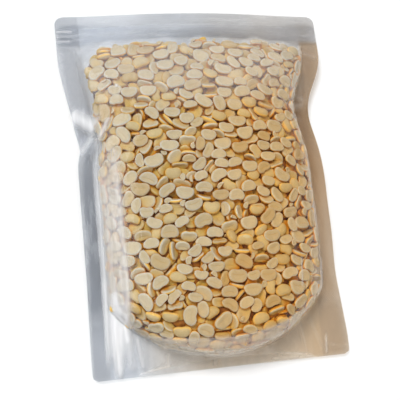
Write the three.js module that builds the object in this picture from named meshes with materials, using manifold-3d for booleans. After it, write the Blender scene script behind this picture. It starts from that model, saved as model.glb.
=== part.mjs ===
// A filled stand-up pouch of clear film, lying on its back panel.
// Millimetres. +Z is up, +Y runs from the gusset end to the zip end, and the
// origin is under the middle of the pouch, on the surface it lies on.

import * as THREE from 'three';
import Module from 'manifold-3d';

const wasm = await Module();
wasm.setup();

// ---- driving dimensions ----

const TOP_EDGE_Y = 107;        // cut edge of the header, above the zip
const BOTTOM_EDGE_Y = -107;    // bottom edge of the back panel
const FILL_END_Y = 90;         // where the filled body closes, just under the zip
const HALF_WIDTH = 75.6;       // half the width beside the filling
const HEADER_FLARE = 7;        // how much wider each side is at the header
const FOOT_FLARE_LEFT = 0.4;   // the same at the bottom corners
const FOOT_FLARE_RIGHT = 3.1;
const PINCH_LEFT = { y: 25, depth: 1.9, spread: 7 };    // dents in the side edges,
const PINCH_RIGHT = { y: 48, depth: 6.7, spread: 21 };  // where the filling ends
const SEAL_LEFT = 10.5;        // width of the left side seal
const SEAL_RIGHT = 11;         // width of the right side seal
const LOW_SHOULDER_Y = -40;    // where the swelling starts to fall off, either way
const HIGH_SHOULDER_Y = 15;
const CROWN = 36;              // height of the filled pouch over the table
const FLATTENING = 3;          // how much of its swelling the table takes away
const SEAM_HEIGHT = 11;        // height of the side seams beside the filling
const SIDE_DROOP = 3.6;        // how far the side seals hang below their seams
const HEADER_HEIGHT = 7;       // height of the header at its side edges
const ZIP_ARCH = 9;            // how far the middle of the zip is lifted over its ends
const TOP_EDGE_ARCH = 3.5;      // the same for the header's free edge
const CORNER_HEIGHT = 3.2;     // height of the two bottom corners

const GUSSET_START_Y = -66;    // where the curved gusset seal leaves the side seals
const GUSSET_DEPTH = 32.5;     // how far that curve reaches down the panel
const FRONT_SEAM_HEIGHT = 22;  // front panel's gusset seam, at its lowest point
const BACK_SEAM_HEIGHT = 2;    // back panel's gusset seam, at its lowest point
const GUSSET_BULGE = 2.2;      // how far the gusset wall swells outward
const MOUTH_LEFT = 51;         // the gap between the two skirts, left of the middle
const MOUTH_RIGHT = 56;        // and right of it
const FRONT_EDGE_ARCH = 5.7;   // rise of the front panel's bottom edge
const FRONT_EDGE_HEIGHT = 17.5;// height of that edge at its middle
const BACK_EDGE_HEIGHT = 0.8;  // height of the back panel's bottom edge

const FILM = 0.5;              // thickness of each sheet of the seals and skirts
const OVERLAP = 0.2;           // how far the two sheets sink into each other
const ROOT = 2;                // how far the seals reach into the filled body
const TOP_CORNER = 5;          // rounding of the header's corners
const BOTTOM_CORNER = 3;       // rounding of the bottom corners

const ZIP_LOWER_Y = 90.3;      // the zip strip's two long edges
const ZIP_UPPER_Y = 98.9;
const ZIP_RIBS_Y = [91.8, 97.4];
const ZIP_RIB_WIDTH = 1.5;
const ZIP_RIB_HEIGHT = 0.9;
const ZIP_STRIP = 0.5;         // thickness of the strip between its ribs
const ZIP_INSET = 1.5;         // how far the strip stops short of the side edges
const GAP = 0.3;               // clearance between the zip strips and the film

const CORNER_ANGLE = 38;       // where the mesh's corners sit on the gusset curve
const COLUMNS = 20;            // divisions of the filled body across
const ROWS = 30;               // divisions of the filled body along
const BAND_STEPS = 3;          // divisions of a seal across its width

// ---- shape of the pouch ----

const clamp = (t) => Math.min(1, Math.max(0, t));

function ease(t) {
  const c = clamp(t);
  return c * c * (3 - 2 * c);
}

const dent = (pinch, y) => pinch.depth * Math.exp(-(((y - pinch.y) / pinch.spread) ** 2));

// Half widths of the outline. The film is drawn in beside the filling and
// pinched where the filling ends.
function reach(y, footFlare, pinch) {
  return HALF_WIDTH + HEADER_FLARE * ease((y - 30) / 50)
    + footFlare * ease((-y - 55) / 45) - dent(pinch, y);
}

const leftReach = (y) => reach(y, FOOT_FLARE_LEFT, PINCH_LEFT);
const rightReach = (y) => reach(y, FOOT_FLARE_RIGHT, PINCH_RIGHT);

const leftSeam = (y) => leftReach(y) - SEAL_LEFT;
const rightSeam = (y) => rightReach(y) - SEAL_RIGHT;
const seamHalf = (x, y) => (x < 0 ? leftSeam(y) : rightSeam(y));
const gussetHalf = (x) => seamHalf(x, GUSSET_START_Y);

// Height of the side seals and the header over the table.
function sealHeight(y) {
  const toHeader = (SEAM_HEIGHT - HEADER_HEIGHT) * ease((y - 35) / 72);
  const toCorner = (SEAM_HEIGHT - CORNER_HEIGHT) * ease((-y - 30) / 77);
  return SEAM_HEIGHT - toHeader - toCorner;
}

// The side seals hang down a little outside the filling.
function sideDroop(x, y) {
  const out = clamp((Math.abs(x) - seamHalf(x, y)) / SEAL_LEFT);
  return SIDE_DROOP * out * ease((85 - y) / 50) * ease((y + 100) / 50);
}

// The filling lifts the middle of the zip. The header's free edge hangs lower.
function headerLift(x, y) {
  const zip = ZIP_ARCH * ease((y - 45) / 50);
  const edge = (ZIP_ARCH - TOP_EDGE_ARCH) * ease((y - 92) / 22);
  const middle = Math.max(0, 1 - (x / HALF_WIDTH) ** 2) ** 1.5;
  return (zip - edge) * middle + 0.6 * ease((y - 78) / 25) * Math.sin((x + 30) / 27);
}

// Plan position of the curved gusset seam.
function gussetY(x) {
  const t = clamp(Math.abs(x) / gussetHalf(x));
  return GUSSET_START_Y - GUSSET_DEPTH * (1 - t * t) ** 0.75;
}

// 1 at the middle of the skirts' mouth, 0 at its corners and beyond them.
const mouth = (x) => Math.max(0, 1 - (x / (x < 0 ? MOUTH_LEFT : MOUTH_RIGHT)) ** 2);

const frontEdgeY = (x) => BOTTOM_EDGE_Y + FRONT_EDGE_ARCH * mouth(x) ** 0.8;

function frontBase(x, y) {
  const rise = FRONT_SEAM_HEIGHT - sealHeight(GUSSET_START_Y - GUSSET_DEPTH);
  return sealHeight(y) + headerLift(x, y) - sideDroop(x, y)
    + rise * mouth(x) * ease((-y - 25) / 45);
}

function backBase(x, y) {
  const drop = sealHeight(y) - BACK_SEAM_HEIGHT;
  const share = Math.sqrt(mouth(x)) * ease((-y - 45) / 30);  // full along the seam
  return sealHeight(y) + headerLift(x, y) - sideDroop(x, y) - drop * share;
}

// How far the filled body has swollen, from 0 at its seams to 1 at its middle.
// It falls off below LOW_SHOULDER_Y and above HIGH_SHOULDER_Y.
function swell(x, y, across, endPower) {
  const u = clamp(Math.abs(x) / seamHalf(x, y));
  const low = clamp((LOW_SHOULDER_Y - y) / (LOW_SHOULDER_Y - gussetY(x)));
  const high = clamp((y - HIGH_SHOULDER_Y) / (FILL_END_Y - HIGH_SHOULDER_Y));
  return Math.sqrt(1 - u ** across)
    * Math.sqrt(1 - low ** 5)
    * (1 - high ** 2.4) ** endPower;
}

function frontZ(x, y) {
  const base = frontBase(x, y);
  return base + (CROWN - base) * swell(x, y, 2.5, 0.75);
}

// The back swells down past the table, which cuts it off flat.
function backZ(x, y) {
  const base = backBase(x, y);
  return Math.max(0, base - (base + FLATTENING) * swell(x, y, 4, 0.6));
}

// Heights of the two sheets outside the filled body.
function skirtShare(x, y, edgeY) {
  const seamY = gussetY(x);
  return clamp((seamY - y) / (seamY - edgeY));
}

function frontSheetZ(x, y) {
  if (y > GUSSET_START_Y || mouth(x) === 0) return frontBase(x, y);
  const seam = frontBase(x, Math.max(y, gussetY(x)));
  const edge = CORNER_HEIGHT + (FRONT_EDGE_HEIGHT - CORNER_HEIGHT) * mouth(x);
  return seam + (edge - seam) * skirtShare(x, y, frontEdgeY(x));
}

function backSheetZ(x, y) {
  if (y > GUSSET_START_Y || mouth(x) === 0) return backBase(x, y);
  const seam = backBase(x, Math.max(y, gussetY(x)));
  const edge = BACK_EDGE_HEIGHT
    + (CORNER_HEIGHT - BACK_EDGE_HEIGHT) * (1 - mouth(x)) ** 2;
  return seam + (edge - seam) * skirtShare(x, y, BOTTOM_EDGE_Y);
}

// ---- plan curves ----

// Points at equal steps along a plan polyline.
function resample(points, count) {
  const run = [0];
  for (let i = 1; i < points.length; i += 1) {
    const [x0, y0] = points[i - 1];
    const [x1, y1] = points[i];
    run.push(run[i - 1] + Math.hypot(x1 - x0, y1 - y0));
  }
  const total = run[run.length - 1];
  const result = [];
  let k = 1;
  for (let i = 0; i <= count; i += 1) {
    const s = (total * i) / count;
    while (k < run.length - 1 && run[k] < s) k += 1;
    const t = clamp((s - run[k - 1]) / (run[k] - run[k - 1]));
    const [x0, y0] = points[k - 1];
    const [x1, y1] = points[k];
    result.push([x0 + (x1 - x0) * t, y0 + (y1 - y0) * t]);
  }
  return result;
}

// A point of the gusset curve, by angle: 0 at its left end, 180 at its right.
function gussetPoint(degrees) {
  const angle = (degrees * Math.PI) / 180;
  const half = degrees < 90 ? leftSeam(GUSSET_START_Y) : rightSeam(GUSSET_START_Y);
  return [-half * Math.cos(angle), GUSSET_START_Y - GUSSET_DEPTH * Math.sin(angle) ** 1.5];
}

function gussetCurve(from, to) {
  return Array.from({ length: 121 }, (_, i) => gussetPoint(from + ((to - from) * i) / 120));
}

function sideSeam(sign) {
  const points = [];
  for (let y = GUSSET_START_Y + 1; y <= FILL_END_Y; y += 1) {
    points.push([sign * seamHalf(sign, y), y]);
  }
  return points;
}

const leftCurve = resample(
  [...gussetCurve(CORNER_ANGLE, 0), ...sideSeam(-1)], ROWS);
const rightCurve = resample(
  [...gussetCurve(180 - CORNER_ANGLE, 180), ...sideSeam(1)], ROWS);
const bottomCurve = resample(gussetCurve(CORNER_ANGLE, 180 - CORNER_ANGLE), COLUMNS);
const topCurve = resample(
  [leftCurve[ROWS], rightCurve[ROWS]], COLUMNS);

// The filled body's plan, as a grid stretched between its four curves.
function bodyPoint(i, j) {
  const c = i / COLUMNS;
  const r = j / ROWS;
  return [0, 1].map((k) => {
    const across = (1 - r) * bottomCurve[i][k] + r * topCurve[i][k];
    const along = (1 - c) * leftCurve[j][k] + c * rightCurve[j][k];
    const corners = (1 - c) * (1 - r) * leftCurve[0][k] + c * (1 - r) * rightCurve[0][k]
      + (1 - c) * r * leftCurve[ROWS][k] + c * r * rightCurve[ROWS][k];
    return across + along - corners;
  });
}

// ---- meshes ----

// Collects triangles on shared vertices. A triangle with two equal corners is
// left out, so a strip can close to a point.
class Shell {
  constructor() {
    this.positions = [];
    this.triangles = [];
    this.lookup = new Map();
  }

  vertex(p) {
    const key = p.map((v) => Math.round(v * 1e4)).join();
    if (!this.lookup.has(key)) {
      this.lookup.set(key, this.positions.length / 3);
      this.positions.push(...p);
    }
    return this.lookup.get(key);
  }

  triangle(a, b, c) {
    const [i, j, k] = [this.vertex(a), this.vertex(b), this.vertex(c)];
    if (i !== j && j !== k && k !== i) this.triangles.push(i, j, k);
  }

  quad(a, b, c, d) {
    this.triangle(a, b, c);
    this.triangle(a, c, d);
  }

  solid() {
    return new wasm.Manifold(new wasm.Mesh({
      numProp: 3,
      vertProperties: new Float32Array(this.positions),
      triVerts: new Uint32Array(this.triangles),
    }));
  }
}

function toMesh(solid, name, material) {
  const { numProp, vertProperties, triVerts } = solid.getMesh();
  const positions = new Float32Array((vertProperties.length / numProp) * 3);
  for (let i = 0; i < positions.length / 3; i += 1) {
    for (let k = 0; k < 3; k += 1) positions[i * 3 + k] = vertProperties[i * numProp + k];
  }
  const geometry = new THREE.BufferGeometry();
  geometry.setAttribute('position', new THREE.BufferAttribute(positions, 3));
  geometry.setIndex(new THREE.BufferAttribute(new Uint32Array(triVerts), 1));
  geometry.computeVertexNormals();
  const mesh = new THREE.Mesh(geometry, material);
  mesh.name = name;
  return mesh;
}

// The seam loop, counter-clockwise from above, starting at the left of the gusset.
const seamLoop = [
  ...bottomCurve.slice(0, -1),
  ...rightCurve.slice(0, -1),
  ...[...topCurve].reverse().slice(0, -1),
  ...[...leftCurve].reverse().slice(0, -1),
];

function filledBody() {
  const shell = new Shell();
  const seamKeys = new Set(seamLoop.map((p) => p.map((v) => v.toFixed(5)).join()));
  const onSeam = ([x, y]) => seamKeys.has([x, y].map((v) => v.toFixed(5)).join());
  const front = (p) => [...p, onSeam(p) ? frontBase(...p) : frontZ(...p)];
  const back = (p) => [...p, onSeam(p) ? backBase(...p) : backZ(...p)];
  for (let j = 0; j < ROWS; j += 1) {
    for (let i = 0; i < COLUMNS; i += 1) {
      const cell = [bodyPoint(i, j), bodyPoint(i + 1, j),
        bodyPoint(i + 1, j + 1), bodyPoint(i, j + 1)];
      shell.quad(...cell.map(front));
      shell.quad(...cell.map(back).reverse());
    }
  }
  // The gusset wall closes the body between the two seams.
  const wall = ([x, y], level) => {
    const [top, bottom] = [frontBase(x, y), backBase(x, y)];
    const half = gussetHalf(x);
    const normal = new THREE.Vector2(x / half ** 2, (y - GUSSET_START_Y) / GUSSET_DEPTH ** 2);
    normal.normalize().multiplyScalar(
      GUSSET_BULGE * clamp((top - bottom) / 12) * Math.sin(Math.PI * level));
    return [x + normal.x, y + normal.y, bottom + (top - bottom) * level];
  };
  const levels = [0, 0.3, 0.65, 1];
  seamLoop.forEach((p, n) => {
    const q = seamLoop[(n + 1) % seamLoop.length];
    if (p[1] > GUSSET_START_Y + 6 && q[1] > GUSSET_START_Y + 6) return;
    for (let k = 0; k < levels.length - 1; k += 1) {
      shell.quad(wall(p, levels[k]), wall(q, levels[k]),
        wall(q, levels[k + 1]), wall(p, levels[k + 1]));
    }
  });
  return shell.solid();
}

// Pairs of plan points, one on the seam and one on the sheet's outer edge.
function bandPairs(bottomY) {
  const pairs = [];
  const arc = (cx, cy, radius, from, to) => Array.from({ length: 5 }, (_, i) => {
    const angle = ((from + ((to - from) * i) / 4) * Math.PI) / 180;
    return [cx + radius * Math.cos(angle), cy + radius * Math.sin(angle)];
  });
  // The point of the gusset curve on the line from its centre to a point outside.
  const radial = ([x, y]) => {
    let [inside, outside] = [0, 1];
    for (let i = 0; i < 40; i += 1) {
      const t = (inside + outside) / 2;
      const past = GUSSET_START_Y + (y - GUSSET_START_Y) * t < gussetY(x * t)
        || Math.abs(x * t) > gussetHalf(x);
      if (past) outside = t; else inside = t;
    }
    return [x * inside, GUSSET_START_Y + (y - GUSSET_START_Y) * inside];
  };
  const lowRight = rightReach(BOTTOM_EDGE_Y);
  const lowLeft = -leftReach(BOTTOM_EDGE_Y);
  const highRight = rightReach(TOP_EDGE_Y);
  const highLeft = -leftReach(TOP_EDGE_Y);
  const b = BOTTOM_CORNER;
  const t = TOP_CORNER;

  const bottom = resample([[lowLeft + b, BOTTOM_EDGE_Y], [lowRight - b, BOTTOM_EDGE_Y]], 36)
    .map(([x]) => [x, bottomY(x)]);
  const lowerSide = (sign) => resample(
    [[0, BOTTOM_EDGE_Y + b], [0, GUSSET_START_Y]], 8)
    .map(([, y]) => [sign * (sign < 0 ? leftReach(y) : rightReach(y)), y]).slice(1, -1);
  bottom.forEach((q) => pairs.push([radial(q), q]));
  arc(lowRight - b, BOTTOM_EDGE_Y + b, b, -90, 0).slice(1)
    .forEach((q) => pairs.push([radial(q), q]));
  lowerSide(1).forEach((q) => pairs.push([radial(q), q]));
  const sideYs = resample([[0, GUSSET_START_Y], [0, FILL_END_Y]], 30).map(([, y]) => y);
  sideYs.forEach((y) => pairs.push([[rightSeam(y), y], [rightReach(y), y]]));
  const topRight = [rightSeam(FILL_END_Y), FILL_END_Y];
  const topLeft = [-leftSeam(FILL_END_Y), FILL_END_Y];
  pairs.push([topRight, [rightReach(96), 96]]);
  arc(highRight - t, TOP_EDGE_Y - t, t, 0, 90)
    .forEach((q) => pairs.push([topRight, q]));
  resample([[topRight[0], TOP_EDGE_Y], [topLeft[0], TOP_EDGE_Y]], 24)
    .forEach(([x, y]) => pairs.push([[x, FILL_END_Y], [x, y]]));
  arc(highLeft + t, TOP_EDGE_Y - t, t, 90, 180)
    .forEach((q) => pairs.push([topLeft, q]));
  pairs.push([topLeft, [-leftReach(96), 96]]);
  [...sideYs].reverse().forEach((y) => pairs.push([[-leftSeam(y), y], [-leftReach(y), y]]));
  lowerSide(-1).reverse().forEach((q) => pairs.push([radial(q), q]));
  arc(lowLeft + b, BOTTOM_EDGE_Y + b, b, 180, 270).slice(0, -1)
    .forEach((q) => pairs.push([radial(q), q]));
  return pairs;
}

// One sheet of the seals, header and skirt: a ring of film around the body.
function sheet(height, bottomY, below, above) {
  const shell = new Shell();
  const rows = bandPairs(bottomY).map(([seam, edge]) => {
    const inward = new THREE.Vector2(seam[0] * 0.97, seam[1] * 0.97);
    const root = new THREE.Vector2(...seam);
    root.add(inward.sub(root).normalize().multiplyScalar(ROOT));
    const rootZ = height(...seam);
    const row = [[root.x, root.y, rootZ]];
    for (let k = 0; k <= BAND_STEPS; k += 1) {
      const t = k / BAND_STEPS;
      const [x, y] = [0, 1].map((n) => seam[n] + (edge[n] - seam[n]) * t);
      row.push([x, y, height(x, y)]);
    }
    return row;
  });
  const lift = ([x, y, z], dz) => [x, y, z + dz];
  rows.forEach((row, n) => {
    const next = rows[(n + 1) % rows.length];
    const last = row.length - 1;
    for (let k = 0; k < last; k += 1) {
      const cell = [row[k], row[k + 1], next[k + 1], next[k]];
      shell.quad(...cell.map((p) => lift(p, above)));
      shell.quad(...cell.map((p) => lift(p, below)).reverse());
    }
    shell.quad(lift(row[last], below), lift(next[last], below),
      lift(next[last], above), lift(row[last], above));
    shell.quad(lift(next[0], below), lift(row[0], below),
      lift(row[0], above), lift(next[0], above));
  });
  return shell.solid();
}

function pouch() {
  const front = sheet(frontSheetZ, frontEdgeY, -OVERLAP, FILM);
  const back = sheet(backSheetZ, () => BOTTOM_EDGE_Y, -FILM, OVERLAP);
  return filledBody().add(front).add(back);
}

// ---- zip ----

// A strip with two ribs, following the header on one face (side is 1 or -1).
function zipStrip(side) {
  const half = ZIP_RIB_WIDTH / 2;
  const ribHeight = ZIP_STRIP + ZIP_RIB_HEIGHT;
  const ridge = ZIP_RIBS_Y.flatMap((y) => [
    [y - half, ZIP_STRIP], [y - half * 0.6, ribHeight],
    [y + half * 0.6, ribHeight], [y + half, ZIP_STRIP]]);
  // The underside bends where the header's own facets do.
  const bendY = FILL_END_Y + (TOP_EDGE_Y - FILL_END_Y) / BAND_STEPS;
  const profile = [[ZIP_LOWER_Y, 0], [ZIP_LOWER_Y, ZIP_STRIP], ...ridge,
    [ZIP_UPPER_Y, ZIP_STRIP], [ZIP_UPPER_Y, 0], [bendY, 0]];
  const steps = 24;
  const left = -leftReach(ZIP_LOWER_Y) + ZIP_INSET;
  const right = rightReach(ZIP_LOWER_Y) - ZIP_INSET;
  const shell = new Shell();
  const ring = (i) => {
    const x = left + ((right - left) * i) / steps;
    return profile.map(([y, rise]) => [x, y,
      frontBase(x, y) + side * (FILM + GAP + rise)]);
  };
  const face = (a, b, c, d) => (side > 0 ? shell.quad(a, b, c, d) : shell.quad(d, c, b, a));
  for (let i = 0; i < steps; i += 1) {
    const [here, next] = [ring(i), ring(i + 1)];
    profile.forEach((_, k) => {
      const m = (k + 1) % profile.length;
      face(here[k], next[k], next[m], here[m]);
    });
  }
  const outline = profile.map(([y, rise]) => new THREE.Vector2(y, rise));
  const caps = THREE.ShapeUtils.triangulateShape(outline, []);
  [[ring(0), false], [ring(steps), true]].forEach(([loop, far]) => {
    caps.forEach(([a, b, c]) => {
      const turn = THREE.ShapeUtils.area([outline[a], outline[b], outline[c]]) > 0;
      const wanted = far === (side > 0);
      const order = turn === wanted ? [a, b, c] : [a, c, b];
      shell.triangle(...order.map((n) => loop[n]));
    });
  });
  return shell;
}

function zipMesh(side, name, material) {
  return toMesh(zipStrip(side).solid(), name, material);
}

// ---- model ----

const filledFilm = new THREE.MeshStandardMaterial({
  color: 0xc9ac80, roughness: 0.35, metalness: 0 });
const zipPlastic = new THREE.MeshStandardMaterial({
  color: 0xd2d5d9, roughness: 0.3, metalness: 0 });

const group = new THREE.Group();
group.add(toMesh(pouch(), 'pouch', filledFilm));
group.add(zipMesh(1, 'zip_front_strip', zipPlastic));
group.add(zipMesh(-1, 'zip_back_strip', zipPlastic));

export default group;
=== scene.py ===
"""A clear stand-up zip pouch full of peeled split beans, lying on its back.

The film is three thin sheets (front, back and gusset) on the CAD pouch's own surfaces.
The beans are laid one by one against the inside of the film, and a core painted dark as shade
closes the view between the deepest of them. Lengths are in millimetres until a mesh is made.
"""

import math

import bpy
import numpy as np
from mathutils import Matrix, Vector


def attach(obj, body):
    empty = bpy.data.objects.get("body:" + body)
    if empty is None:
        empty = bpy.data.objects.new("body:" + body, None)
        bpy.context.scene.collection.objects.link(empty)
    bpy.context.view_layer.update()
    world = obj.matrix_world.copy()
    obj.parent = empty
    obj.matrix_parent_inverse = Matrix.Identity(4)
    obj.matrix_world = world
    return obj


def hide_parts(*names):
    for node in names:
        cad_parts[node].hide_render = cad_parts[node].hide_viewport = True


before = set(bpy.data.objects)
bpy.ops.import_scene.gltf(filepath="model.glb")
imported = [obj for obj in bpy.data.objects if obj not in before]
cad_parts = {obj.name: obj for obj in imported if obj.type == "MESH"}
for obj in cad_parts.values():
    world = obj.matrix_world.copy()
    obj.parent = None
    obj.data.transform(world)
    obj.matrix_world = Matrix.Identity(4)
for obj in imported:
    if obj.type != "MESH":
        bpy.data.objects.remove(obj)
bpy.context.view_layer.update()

MM = 0.001
SEED = 41
scene = bpy.context.scene


def add_object(name, data):
    item = bpy.data.objects.new(name, data)
    scene.collection.objects.link(item)
    return item


# ---- the pouch's shape, as in the CAD
TOP_EDGE_Y = 107
BOTTOM_EDGE_Y = -107
FILL_END_Y = 90
HALF_WIDTH = 75.6
HEADER_FLARE = 7
FOOT_FLARE_LEFT = 0.4
FOOT_FLARE_RIGHT = 3.1
PINCH_LEFT = {"y": 25, "depth": 1.9, "spread": 7}
PINCH_RIGHT = {"y": 48, "depth": 6.7, "spread": 21}
SEAL_LEFT = 10.5
SEAL_RIGHT = 11
LOW_SHOULDER_Y = -40
HIGH_SHOULDER_Y = 15
CROWN = 36
FLATTENING = 3
SEAM_HEIGHT = 11
SIDE_DROOP = 3.6
HEADER_HEIGHT = 7
HEADER_WAVE = 0.6
ZIP_ARCH = 9
TOP_EDGE_ARCH = 3.5
CORNER_HEIGHT = 3.2
GUSSET_START_Y = -66
GUSSET_DEPTH = 32.5
FRONT_SEAM_HEIGHT = 22
BACK_SEAM_HEIGHT = 2
GUSSET_BULGE = 2.2
MOUTH_LEFT = 51
MOUTH_RIGHT = 56
FRONT_EDGE_ARCH = 5.7
FRONT_EDGE_HEIGHT = 17.5
BACK_EDGE_HEIGHT = 0.8
TOP_CORNER = 5
BOTTOM_CORNER = 3


def clamp(t):
    return np.clip(t, 0.0, 1.0)


def ease(value, start=0, end=1):
    """0 at start and before it, 1 at end and beyond it, and smooth between."""
    t = clamp((value - start) / (end - start))
    return t * t * (3 - 2 * t)


def dent(pinch, y):
    return pinch["depth"] * np.exp(-(((y - pinch["y"]) / pinch["spread"]) ** 2))


def reach(left, y):
    """Half width of the outline, on the left where left is true and on the right elsewhere."""
    flare = HEADER_FLARE * ease(y, 30, 80)
    foot = np.where(left, FOOT_FLARE_LEFT, FOOT_FLARE_RIGHT) * ease(y, -55, -100)
    pinch = np.where(left, dent(PINCH_LEFT, y), dent(PINCH_RIGHT, y))
    return HALF_WIDTH + flare + foot - pinch


def seam_half(left, y):
    """Half width of the filled part, out to the inner edge of the side seal."""
    return reach(left, y) - np.where(left, SEAL_LEFT, SEAL_RIGHT)


def seal_height(y):
    header = (SEAM_HEIGHT - HEADER_HEIGHT) * ease(y, 35, TOP_EDGE_Y)
    foot = (SEAM_HEIGHT - CORNER_HEIGHT) * ease(y, -30, BOTTOM_EDGE_Y)
    return SEAM_HEIGHT - header - foot


def across_seal(x, y):
    """0 up to the seam, and 1 a seal's width outside it."""
    return clamp((np.abs(x) - seam_half(x < 0, y)) / SEAL_LEFT)


def side_droop(x, y):
    return SIDE_DROOP * across_seal(x, y) * ease(y, 85, 35) * ease(y, -100, -50)


def header_lift(x, y):
    arch = ZIP_ARCH * ease(y, 45, 95) - (ZIP_ARCH - TOP_EDGE_ARCH) * ease(y, 92, 114)
    bow = np.maximum(0, 1 - (x / HALF_WIDTH) ** 2) ** 1.5
    return arch * bow + HEADER_WAVE * ease(y, 78, 103) * np.sin((x + 30) / 27)


def gusset_y(x):
    """Where the curved seam of the bottom gusset lies."""
    t = clamp(np.abs(x) / seam_half(x < 0, GUSSET_START_Y))
    return GUSSET_START_Y - GUSSET_DEPTH * (1 - t * t) ** 0.75


def mouth(x):
    """1 at the middle of the open foot and 0 at its ends."""
    return np.maximum(0, 1 - (x / np.where(x < 0, MOUTH_LEFT, MOUTH_RIGHT)) ** 2)


def front_edge_y(x):
    return BOTTOM_EDGE_Y + FRONT_EDGE_ARCH * mouth(x) ** 0.8


def back_edge_y(x):
    return BOTTOM_EDGE_Y + 0 * x


def both_base(x, y):
    """Height of both films where they lie together."""
    return seal_height(y) + header_lift(x, y) - side_droop(x, y)


def front_base(x, y):
    lift = FRONT_SEAM_HEIGHT - seal_height(GUSSET_START_Y - GUSSET_DEPTH)
    return both_base(x, y) + lift * mouth(x) * ease(y, -25, -70)


def back_base(x, y):
    drop = (seal_height(y) - BACK_SEAM_HEIGHT) * np.sqrt(mouth(x))
    return both_base(x, y) - drop * ease(y, -45, -75)


def swell(x, y, across, end_power):
    """1 over the flat middle of the filled part, falling to 0 at its seams."""
    u = clamp(np.abs(x) / seam_half(x < 0, y))
    low = clamp((LOW_SHOULDER_Y - y) / (LOW_SHOULDER_Y - gusset_y(x)))
    high = clamp((y - HIGH_SHOULDER_Y) / (FILL_END_Y - HIGH_SHOULDER_Y))
    return np.sqrt(1 - u**across) * np.sqrt(1 - low**5) * (1 - high**2.4) ** end_power


def front_z(x, y):
    base = front_base(x, y)
    return base + (CROWN - base) * swell(x, y, 2.5, 0.75)


def back_z(x, y):
    base = back_base(x, y)
    return np.maximum(0, base - (base + FLATTENING) * swell(x, y, 4, 0.6))


def skirt_z(x, y, base, edge_z, edge_y):
    """Height of a sheet outside the fill: its base, and below the gusset seam its skirt."""
    seam_y = gusset_y(x)
    seam_z = base(x, np.maximum(y, seam_y))
    down = seam_z + (edge_z - seam_z) * clamp((seam_y - y) / (seam_y - edge_y))
    return np.where((y > GUSSET_START_Y) | (mouth(x) == 0), base(x, y), down)


def front_skirt_z(x, y):
    edge_z = CORNER_HEIGHT + (FRONT_EDGE_HEIGHT - CORNER_HEIGHT) * mouth(x)
    return skirt_z(x, y, front_base, edge_z, front_edge_y(x))


def back_skirt_z(x, y):
    edge_z = BACK_EDGE_HEIGHT + (CORNER_HEIGHT - BACK_EDGE_HEIGHT) * (1 - mouth(x)) ** 2
    return skirt_z(x, y, back_base, edge_z, BOTTOM_EDGE_Y)


# ---- plan of the film sheets
SHEET_COLUMNS = 176
SHEET_ROWS = 216
SEAL_COLUMNS = 10
SKIRT_ROWS = 26
HEADER_ROWS = 20


def corner_cut(y):
    """How far the rounded corners take the outline in at each height of the sheet."""
    top = np.clip(y - (TOP_EDGE_Y - TOP_CORNER), 0, TOP_CORNER)
    foot = np.clip(BOTTOM_EDGE_Y + BOTTOM_CORNER - y, 0, BOTTOM_CORNER)
    top_cut = TOP_CORNER - np.sqrt(TOP_CORNER**2 - top**2)
    return top_cut + BOTTOM_CORNER - np.sqrt(BOTTOM_CORNER**2 - foot**2)


def sheet_plan(edge_y, step=1):
    """Plan position of each point of a sheet, and the slices that pick out the filled part.

    Columns run from the left edge to the right one and rows from the foot to the top. The
    filled part's rows and columns crowd together at its seams, where the film is steep.
    """
    inside = np.linspace(-1, 1, SHEET_COLUMNS // step + 1)
    band = np.linspace(0, 1, SEAL_COLUMNS + 1)[1:]
    u = np.concatenate([-np.ones(SEAL_COLUMNS), inside, np.ones(SEAL_COLUMNS)])
    out = np.concatenate([band[::-1], np.zeros(inside.size), band])
    left = u < 0
    spread = np.sin(np.pi / 2 * u)
    start_half = seam_half(left, GUSSET_START_Y)
    seam_y = gusset_y(start_half * spread)
    rise = (1 - np.cos(np.pi * np.linspace(0, 1, SHEET_ROWS // step + 1))) / 2
    skirt = np.linspace(1, 0, SKIRT_ROWS + 1)[:-1, None]
    header = np.linspace(0, 1, HEADER_ROWS + 1)[1:, None]
    skirt_y = seam_y + (edge_y(start_half * spread) - seam_y) * skirt
    skirt_half = start_half + (seam_half(left, skirt_y) - start_half) * skirt
    fill_y = seam_y + (FILL_END_Y - seam_y) * rise[:, None]
    fill_half = seam_half(left, np.maximum(fill_y, GUSSET_START_Y))
    header_y = FILL_END_Y + (TOP_EDGE_Y - FILL_END_Y) * header + 0 * u
    y = np.concatenate([skirt_y, fill_y, header_y])
    half = np.concatenate([skirt_half, fill_half, seam_half(left, header_y)])
    outer = reach(left, y) - corner_cut(y)
    x = half * spread + np.sign(u) * (outer - half) * out
    filled_rows = slice(SKIRT_ROWS, SKIRT_ROWS + rise.size)
    return x, y, (filled_rows, slice(SEAL_COLUMNS, SEAL_COLUMNS + inside.size))
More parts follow.
